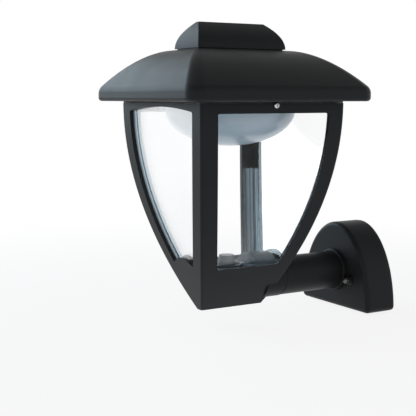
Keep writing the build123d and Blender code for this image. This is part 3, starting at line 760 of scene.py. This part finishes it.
def head_profiles(tree, radius, height):
    """Profiles of a pan head's shoulder and of its sunk middle."""

    def pan(across):
        """Height of the pan head at a share of its radius."""
        filled = calc(tree, "SUBTRACT", 1.0, calc(tree, "POWER", across, head_curve))
        return calc(tree, "MULTIPLY", height, calc(tree, "POWER", filled, 1 / head_curve))

    def shoulder(share, angle):
        across = spread(tree, calc(tree, "POWER", share, shoulder_crowding), 0.0, 1.0, 1.0, recess_edge)
        return calc(tree, "MULTIPLY", radius, across), pan(across)

    def recess(share, angle):
        across = spread(tree, share, 0.0, 1.0, recess_edge, 0.0)
        wide = calc(tree, "ABSOLUTE", calc(tree, "MULTIPLY", across, calc(tree, "COSINE", angle)))
        high = calc(tree, "ABSOLUTE", calc(tree, "MULTIPLY", across, calc(tree, "SINE", angle)))
        near_line = spread(tree, calc(tree, "MINIMUM", wide, high), *slot_sides)
        near_middle = spread(tree, calc(tree, "MAXIMUM", wide, high), *slot_ends)
        sunk = product(tree, near_line, near_middle, height, recess_depth)
        return calc(tree, "MULTIPLY", radius, across), calc(tree, "SUBTRACT", pan(across), sunk)

    return shoulder, recess


print("a head has", shoulder_rows + recess_rows, "rows of points")

# %% Screw tree
screw_steps = 40
thread_m3 = (0.0015, 0.0005)
thread_m4 = (0.0020, 0.0007)


def screw_sizes(head_radius, head_height, thread, length, finish):
    """Sizes of a screw; its thread is a shank radius and a pitch."""
    return {
        "Head Radius": head_radius,
        "Head Height": head_height,
        "Shank Radius": thread[0],
        "Pitch": thread[1],
        "Shank Length": length,
        "Finish": finish,
    }


def screw_tree(sizes):
    """Pan-head screws with a cross recess and a rolled thread, seat on the point, head upwards."""
    tree, given, out = new_tree("pan_head_screws", sizes)
    size = given.outputs
    head, shank = size["Head Radius"], size["Shank Radius"]
    tip = calc(tree, "MULTIPLY", size["Shank Length"], -1.0)
    rows = rows_of(tree, size["Shank Length"], size["Pitch"])
    thread = thread_profile(tree, shank, size["Pitch"], 0.0, size["Shank Length"])
    shoulder, recess = head_profiles(tree, head, size["Head Height"])
    strips = [
        strip(tree, screw_steps, 1, straight(tree, (0.0, tip), (shank, tip))),
        strip(tree, screw_steps, rows, thread),
        strip(tree, screw_steps, 1, straight(tree, (shank, 0.0), (head, 0.0))),
        strip(tree, screw_steps, shoulder_rows, shoulder),
        strip(tree, screw_steps, recess_rows, recess),
    ]
    placed = on_points(tree, size["Geometry"], welded(tree, strips))
    join(tree, painted(tree, placed, size["Finish"]), out.inputs["Geometry"])
    return tree


pan_head = screw_tree(screw_sizes(0.003, 0.002, thread_m3, 0.012, zinc_plate))
print("screw tree:", len(pan_head.nodes), "nodes")

# %% [markdown]
# ## Where the screws sit
# A CAD node's box says where its screws are: the heads lie in the corners of the box, one head radius
# in from each side, and the seat is one head height in from the end that the heads face. Reading the
# box keeps the screws in their holes without a list of places.

# %% Screws in place
down = (0, 0, -1)
to_wall = (0, 1, 0)


def seats(node, head_radius, head_height, axis):
    """Seats of a node's screws and the length of their shanks, from the node's box."""
    low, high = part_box(node)
    along = [abs(v) for v in axis].index(1)
    rows = []
    for i in range(3):
        if i == along:
            rows.append([high[i] - head_height if axis[i] > 0 else low[i] + head_height])
        else:
            first, last = low[i] + head_radius, high[i] - head_radius
            rows.append([first] if last - first < head_radius else [first, last])
    points = [(x, y, z) for x in rows[0] for y in rows[1] for z in rows[2]]
    return points, high[along] - low[along] - head_height


zinc = (zinc_plate, "zinc_steel")
brass = (yellow_brass, "brass")
steel = (bright_steel, "steel")
screw_rows = (
    ("tray_fixings", "gear_tray_screws", "roof_set", 0.0036, 0.0024, thread_m4, down, zinc),
    ("board_fixings", "led_board_screws", "roof_set", 0.0028, 0.0018, thread_m3, down, zinc),
    ("driver_fixings", "driver_screws", "roof_set", 0.0026, 0.0018, thread_m3, up, zinc),
    ("cap_fixing", "cap_screw", "roof_set", 0.004, 0.0026, thread_m4, down, steel),
    ("cover_fixings", "wiring_cover_screws", "lantern", 0.003, 0.002, thread_m3, up, zinc),
    ("flange_fixings", "arm_flange_screws", "lantern", 0.0028, 0.002, thread_m3, to_wall, zinc),
    ("earth_fixing", "earth_screw", "lantern", 0.0035, 0.0022, thread_m4, to_wall, brass),
)
for name, node, body, head_radius, head_height, thread, axis, (finish, slot_name) in screw_rows:
    points, length = seats(node, head_radius, head_height, axis)
    sizes = screw_sizes(head_radius, head_height, thread, length, finish)
    piece = grown(name, pan_head, points, [axis] * len(points), sizes)
    hand_over(piece, body, slot_name, node)

# %% [markdown]
# ## Roof screws
# One bright screw on each side holds the roof on the frame. The two face away from each other, so each
# point holds its own direction. The same tree makes them.

# %% Roof screws
roof_screw_low, roof_screw_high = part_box("roof_screws")
roof_head_radius = (roof_screw_high.z - roof_screw_low.z) / 2
roof_head_height = 0.0022
lug_inner = 0.068
seat_x = roof_screw_high.x - roof_head_height
seat_y = (roof_screw_low.y + roof_screw_high.y) / 2
seat_z = (roof_screw_low.z + roof_screw_high.z) / 2
roof_seats = [(-seat_x, seat_y, seat_z), (seat_x, seat_y, seat_z)]
roof_axes = [(-1, 0, 0), (1, 0, 0)]
roof_screw_sizes = screw_sizes(
    roof_head_radius, roof_head_height, thread_m4, seat_x - lug_inner, bright_steel
)
side_screws = grown("side_screws", pan_head, roof_seats, roof_axes, roof_screw_sizes)
hand_over(side_screws, "roof_set", "steel", "roof_screws")

# %% [markdown]
# ## Studs
# Two threaded studs stand on the bar behind the wall plate, and a cap nut closes on each of them. A
# stud is the screws' thread without a head: a flat end, the thread and another flat end.

# %% Studs
out_of_wall = (0, -1, 0)
stud_steps = 28
stud_low, stud_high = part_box("bracket_studs")
stud_radius = (stud_high.z - stud_low.z) / 2
stud_points = [(x, stud_high.y, 0.0) for x in (stud_low.x + stud_radius, stud_high.x - stud_radius)]
stud_sizes = {
    "Radius": stud_radius,
    "Length": stud_high.y - stud_low.y,
    "Pitch": thread_m4[1],
    "Finish": zinc_plate,
}


def stud_tree():
    """Threaded rods that stand on their points."""
    tree, given, out = new_tree("threaded_rods", stud_sizes)
    size = given.outputs
    radius, length, pitch = size["Radius"], size["Length"], size["Pitch"]
    rows = rows_of(tree, length, pitch)
    thread = thread_profile(tree, radius, pitch, length, length)
    strips = [
        strip(tree, stud_steps, 1, straight(tree, (0.0, 0.0), (radius, 0.0))),
        strip(tree, stud_steps, rows, thread),
        strip(tree, stud_steps, 1, straight(tree, (radius, length), (0.0, length))),
    ]
    placed = on_points(tree, size["Geometry"], welded(tree, strips))
    join(tree, painted(tree, placed, size["Finish"]), out.inputs["Geometry"])
    return tree


studs = grown("studs", stud_tree(), stud_points, [out_of_wall] * len(stud_points), stud_sizes)
hand_over(studs, "lantern", "zinc_steel", "bracket_studs")

# %% [markdown]
# ## Cap nuts
# The domed nut beside the arm is a turned surface too, although a hexagon isn't round: its radius is
# the smaller of a hexagon's and a cone's, which gives the curved chamfers that a real hexagon nut has.
# A bevel on a six-sided block would give straight ones. A round dome grows out of its top.

# %% Cap nuts
nut_low, nut_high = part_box("cap_nuts")
nut_points = [(x, nut_high.y, 0.0) for x, _, _ in stud_points]
nut_sizes = {
    "Across Flats": nut_high.z - nut_low.z,
    "Hex Height": 0.0035,
    "Dome Radius": 0.0033,
    "Length": nut_high.y - nut_low.y,
    # The nuts' steel is darkened as painted shade.
    "Finish": shade_darkened_steel,
}
nut_steps = 96
side_rows = 16
dome_rows = 14
chamfer_slope = 1.73
chamfer_start = 0.97


def nut_radius(tree, half, top):
    """A function that gives the nut's radius at an angle and a height."""

    def limited(angle, height):
        turn = calc(tree, "SUBTRACT", calc(tree, "FLOORED_MODULO", angle, pi / 3), pi / 6)
        hexagon = calc(tree, "DIVIDE", half, calc(tree, "COSINE", turn))
        nearer = calc(tree, "MINIMUM", height, calc(tree, "SUBTRACT", top, height))
        start = calc(tree, "MULTIPLY", half, chamfer_start)
        return calc(tree, "MINIMUM", hexagon, calc(tree, "MULTIPLY_ADD", nearer, chamfer_slope, start))

    return limited


def cap_nut_tree():
    """Domed hexagon nuts that stand on their points."""
    tree, given, out = new_tree("domed_nuts", nut_sizes)
    size = given.outputs
    top, ball = size["Hex Height"], size["Dome Radius"]
    ball_centre = calc(tree, "SUBTRACT", size["Length"], ball)
    limited = nut_radius(tree, calc(tree, "MULTIPLY", size["Across Flats"], 0.5), top)

    def base(share, angle):
        return calc(tree, "MULTIPLY", share, limited(angle, 0.0)), 0.0

    def side(share, angle):
        height = calc(tree, "MULTIPLY", top, share)
        return limited(angle, height), height

    def collar(share, angle):
        outer = limited(angle, top)
        return calc(tree, "MULTIPLY_ADD", calc(tree, "SUBTRACT", ball, outer), share, outer), top

    def dome(share, angle):
        turn = calc(tree, "MULTIPLY", share, pi / 2)
        across = calc(tree, "MULTIPLY", ball, calc(tree, "COSINE", turn))
        return across, calc(tree, "MULTIPLY_ADD", ball, calc(tree, "SINE", turn), ball_centre)

    strips = [
        strip(tree, nut_steps, 1, base),
        strip(tree, nut_steps, side_rows, side),
        strip(tree, nut_steps, 1, collar),
        strip(tree, nut_steps, 1, straight(tree, (ball, top), (ball, ball_centre))),
        strip(tree, nut_steps, dome_rows, dome),
    ]
    placed = on_points(tree, size["Geometry"], welded(tree, strips))
    join(tree, painted(tree, placed, size["Finish"]), out.inputs["Geometry"])
    return tree


nut_axes = [out_of_wall] * len(nut_points)
domed_nuts = grown("domed_nuts", cap_nut_tree(), nut_points, nut_axes, nut_sizes)
hand_over(domed_nuts, "lantern", "steel", "cap_nuts")

# %% [markdown]
# ## A chip of the light source
# A chip is a white package with a well in it and a yellow drop of phosphor in the well. The package is a
# block whose top is drawn in and sunk with Extrude Mesh and Scale Elements, which needs no Boolean, and
# the drop is a turned dome.

# %% Chip package and drop
chip_low, chip_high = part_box("led_chips")
chip_sizes = {
    "Side": 0.003,
    "Package": 0.00055,
    "Height": chip_high.z - chip_low.z,
    "Body": board_enamel,
    "Drop": chip_phosphor,
}
upward_limit = 0.9
lip_share = 0.78
well_depth = 0.0002
drop_share = 0.36
drop_steps = 24
drop_rows = 6


def raised_block(tree, side, height):
    """A square block that stands on the origin."""
    block = tree.nodes.new("GeometryNodeMeshCube")
    block_size = add_node(tree, "ShaderNodeCombineXYZ")
    fill(tree, block_size, (side, side, height))
    join(tree, block_size.outputs[0], block.inputs["Size"])
    lift = add_node(tree, "ShaderNodeCombineXYZ")
    join(tree, calc(tree, "MULTIPLY", height, 0.5), lift.inputs["Z"])
    raised = tree.nodes.new("GeometryNodeTransform")
    join(tree, block.outputs["Mesh"], raised.inputs["Geometry"])
    join(tree, lift.outputs[0], raised.inputs["Translation"])
    return raised.outputs["Geometry"]


def package(tree, side, height):
    """A block with a lip and a well in its top."""
    normal = add_node(tree, "ShaderNodeSeparateXYZ")
    join(tree, tree.nodes.new("GeometryNodeInputNormal").outputs[0], normal.inputs[0])
    upward = add_node(tree, "FunctionNodeCompare", data_type="FLOAT", operation="GREATER_THAN")
    join(tree, normal.outputs["Z"], upward.inputs["A"])
    upward.inputs["B"].default_value = upward_limit
    lip = add_node(tree, "GeometryNodeExtrudeMesh", mode="FACES", offset_scale=0.0)
    join(tree, raised_block(tree, side, height), lip.inputs["Mesh"])
    join(tree, upward.outputs["Result"], lip.inputs["Selection"])
    narrow = add_node(tree, "GeometryNodeScaleElements", domain="FACE", scale=lip_share)
    join(tree, lip.outputs["Mesh"], narrow.inputs["Geometry"])
    join(tree, lip.outputs["Top"], narrow.inputs["Selection"])
    well = add_node(tree, "GeometryNodeExtrudeMesh", mode="FACES", offset_scale=-well_depth)
    join(tree, narrow.outputs["Geometry"], well.inputs["Mesh"])
    join(tree, lip.outputs["Top"], well.inputs["Selection"])
    return well.outputs["Mesh"]


def phosphor_drop(tree, side, package_height, height):
    """A low dome that stands in the well."""

    def dome(share, angle):
        turn = calc(tree, "MULTIPLY", share, pi / 2)
        across = product(tree, side, calc(tree, "COSINE", turn), drop_share)
        foot = calc(tree, "SUBTRACT", package_height, well_depth)
        rise = calc(tree, "SUBTRACT", height, foot)
        return across, calc(tree, "MULTIPLY_ADD", rise, calc(tree, "SINE", turn), foot)

    return welded(tree, [strip(tree, drop_steps, drop_rows, dome)])


print("a chip is", round(chip_sizes["Height"] * 1000, 2), "mm high")

# %% [markdown]
# ## Chips on the board
# The chips lie on the round board in two rings, so a loop works out their places. Each chip has two
# finishes, but the finish is set last, on the whole set. Capture Attribute marks the drop's faces first,
# and the mark stays with them through every copy, so Set Material can choose them at the end.

# %% Chips on the board
chip_rings = ((0.030, 12), (0.014, 6))
chip_points = []
for ring_radius, count in chip_rings:
    for i in range(count):
        turn = 2 * pi * i / count
        chip_points.append((ring_radius * cos(turn), axis_y + ring_radius * sin(turn), chip_high.z))


def chip_tree():
    """Chips on every point of the input: a package with a well, and a drop of phosphor."""
    tree, given, out = new_tree("board_chips", chip_sizes)
    size = given.outputs
    marked = add_node(tree, "GeometryNodeCaptureAttribute", domain="FACE")
    marked.capture_items.new("BOOLEAN", "Is Drop")
    marked.inputs["Is Drop"].default_value = True
    drop = phosphor_drop(tree, size["Side"], size["Package"], size["Height"])
    join(tree, drop, marked.inputs["Geometry"])
    chip = tree.nodes.new("GeometryNodeJoinGeometry")
    join(tree, marked.outputs["Geometry"], chip.inputs[0])
    join(tree, package(tree, size["Side"], size["Package"]), chip.inputs[0])
    placed = on_points(tree, size["Geometry"], chip.outputs[0])
    white = painted(tree, placed, size["Body"])
    join(tree, painted(tree, white, size["Drop"], marked.outputs["Is Drop"]), out.inputs["Geometry"])
    return tree


chips = grown("chips", chip_tree(), chip_points, [down] * len(chip_points), chip_sizes)
hand_over(chips, "roof_set", "chip_yellow", "led_chips")

# %% [markdown]
# ## Surround
# The photograph's room is plain white. A world that is bright enough to look white would also wash out
# the black coat, so Light Path splits the two: the camera, mirrors and clear plastic see plain white,
# and everything else is lit by a dimmer surround. Towards the ceiling the white grows dim, so that
# faces that look up mirror less of it.

# %% Surround
surround_light = 0.36
ceiling_start = 0.3
ceiling_end = 0.75
ceiling_white = 0.3


def seen_by_eye(tree):
    """1 for the camera and for what mirrors and clear plastic show, 0 for light that falls on a piece."""
    path = add_node(tree, "ShaderNodeLightPath")
    seen = calc(tree, "MAXIMUM", path.outputs["Is Camera Ray"], path.outputs["Is Glossy Ray"])
    return calc(tree, "MAXIMUM", seen, path.outputs["Is Transmission Ray"])


def mixed_output(tree, factor, first, second, out):
    """Sends a mix of two shaders to a tree's output."""
    mixed = add_node(tree, "ShaderNodeMixShader")
    join(tree, factor, mixed.inputs["Fac"])
    join(tree, first, mixed.inputs[1])
    join(tree, second, mixed.inputs[2])
    join(tree, mixed.outputs["Shader"], out.inputs["Surface"])


def white_surround(strength):
    """World that is white to look at and dimmer as a source of light."""
    world = bpy.data.worlds.new("surround")
    world.use_nodes = True
    bpy.context.scene.world = world
    tree = world.node_tree
    tree.nodes.clear()
    coords = add_node(tree, "ShaderNodeTexCoord")
    place = add_node(tree, "ShaderNodeSeparateXYZ")
    join(tree, coords.outputs["Generated"], place.inputs[0])
    height = place.outputs["Z"]
    dim = add_node(tree, "ShaderNodeBackground", strength=strength)
    white = add_node(tree, "ShaderNodeBackground")
    for background in (dim, white):
        background.inputs["Color"].default_value = (1, 1, 1, 1)
    brightness = spread(tree, height, ceiling_start, ceiling_end, 1.0, ceiling_white, smooth=True)
    join(tree, brightness, white.inputs["Strength"])
    out = add_node(tree, "ShaderNodeOutputWorld")
    mixed_output(tree, seen_by_eye(tree), dim.outputs["Background"], white.outputs["Background"], out)


white_surround(surround_light)
print("surround lights pieces at", surround_light, "of its white")

# %% [markdown]
# ## Floor
# A pale floor lies just under the wall plate. A plain white plane would show a grey horizon, so the
# floor turns into the surround's own white a little way out, and keeps its soft shadow near the
# lantern. It sends only part of that glow on to the pieces, so they don't light up from below.

# %% Floor
floor_gap = 0.0015
floor_radius = 6.0
floor_near = 0.25
floor_far = 0.9
floor_glow = 0.87
floor_bounce = 0.3


def floor_paper():
    """Paper that glows white away from the middle."""
    material, tree, shader = new_material("floor_paper", (0.84, 0.84, 0.86), 0.85)
    shader.inputs["Specular IOR Level"].default_value = 0.1
    coords = add_node(tree, "ShaderNodeTexCoord")
    length = add_node(tree, "ShaderNodeVectorMath", operation="LENGTH")
    join(tree, coords.outputs["Object"], length.inputs[0])
    fade = spread(tree, length.outputs["Value"], floor_near, floor_far, floor_glow, 1.0, smooth=True)
    glow = calc(tree, "MULTIPLY", fade, spread(tree, seen_by_eye(tree), 0.0, 1.0, floor_bounce, 1.0))
    white = add_node(tree, "ShaderNodeEmission", strength=1.0)
    out = tree.nodes["Material Output"]
    mixed_output(tree, glow, shader.outputs["BSDF"], white.outputs["Emission"], out)
    return material


def pale_floor():
    """A round floor just under the wall plate."""
    mesh = bpy.data.meshes.new("floor")
    build = bmesh.new()
    bmesh.ops.create_circle(build, cap_ends=True, segments=96, radius=floor_radius)
    build.to_mesh(mesh)
    build.free()
    mesh.materials.append(floor_paper())
    floor = bpy.data.objects.new("floor", mesh)
    floor.location = (0, axis_y, cad_low.z - floor_gap)
    bpy.context.scene.collection.objects.link(floor)
    print("floor at z", round(floor.location.z, 4))


pale_floor()

# %% [markdown]
# ## Lamps
# The left sides of the roof and the posts are lighter and bluer than the right ones, as beside a large
# window. A wide, cool lamp on that side gives the long soft reflections of a window, where a small lamp
# would give a hard spot. A weak lamp overhead draws a faint shadow under the lantern. The Standard view
# shows the surround's white as plain white.

# %% Lamps
lamp_target_z = 0.1
cool_white = (0.70, 0.89, 1.0)
plain_white = (1.0, 1.0, 1.0)


def soft_lamp(name, azimuth, height, distance, width, depth, power, color):
    """A large lamp that looks at the lantern's middle; azimuth 0 is in front of it."""
    data = bpy.data.lights.new(name, "AREA")
    data.shape = "RECTANGLE"
    data.size = width
    data.size_y = depth
    data.energy = power
    data.color = color
    lamp = bpy.data.objects.new(name, data)
    angle = radians(azimuth)
    target = Vector((0, axis_y, lamp_target_z))
    lamp.location = (distance * sin(angle), axis_y - distance * cos(angle), height)
    lamp.rotation_euler = (target - lamp.location).to_track_quat("-Z", "Y").to_euler()
    bpy.context.scene.collection.objects.link(lamp)
    print(name, "at", [round(v, 2) for v in lamp.location], "with", power, "W")


soft_lamp(
    "key_lamp", azimuth=-68.0, height=0.72, distance=1.7, width=1.8, depth=1.1, power=20.0, color=cool_white
)
soft_lamp(
    "top_lamp", azimuth=30.0, height=2.4, distance=0.8, width=1.4, depth=1.4, power=2.0, color=plain_white
)
scene = bpy.context.scene
scene.view_settings.view_transform = "Standard"
